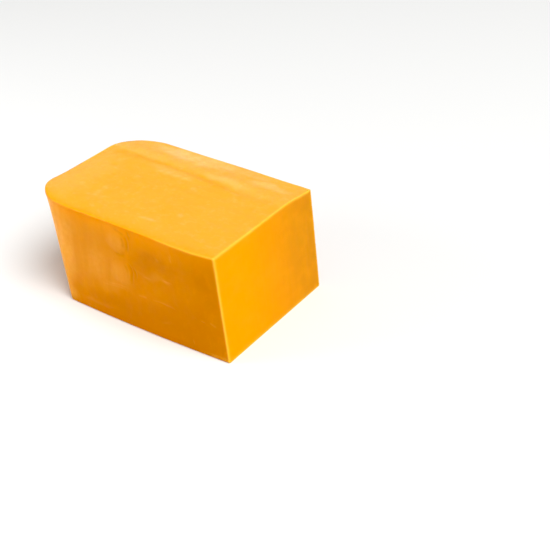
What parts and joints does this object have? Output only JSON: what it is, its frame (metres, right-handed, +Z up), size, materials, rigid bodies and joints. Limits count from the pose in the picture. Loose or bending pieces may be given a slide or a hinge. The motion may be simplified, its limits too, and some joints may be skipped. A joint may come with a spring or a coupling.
{
  "type": "semi-hard cheese loaf",
  "caption": "Orange-yellow block cut from a semi-hard cheese loaf: a flat cut face, a moulded end with rounded corners that draws in at its foot, and a top with a soft crease.",
  "frame": {"origin": "middle of the bounding box in plan, on the plane the loaf rests on", "axes": "+X points out of the cut face, -Y out of the long front face, +Z up"},
  "size_m": [0.2006, 0.144, 0.0971],
  "materials": {
    "cheese": "satin orange-yellow cheese, smooth on the cut face and slightly wrinkled on the moulded sides"
  },
  "bodies": {
    "root": {"cheese_loaf": "cheese"}
  },
  "joints": []
}
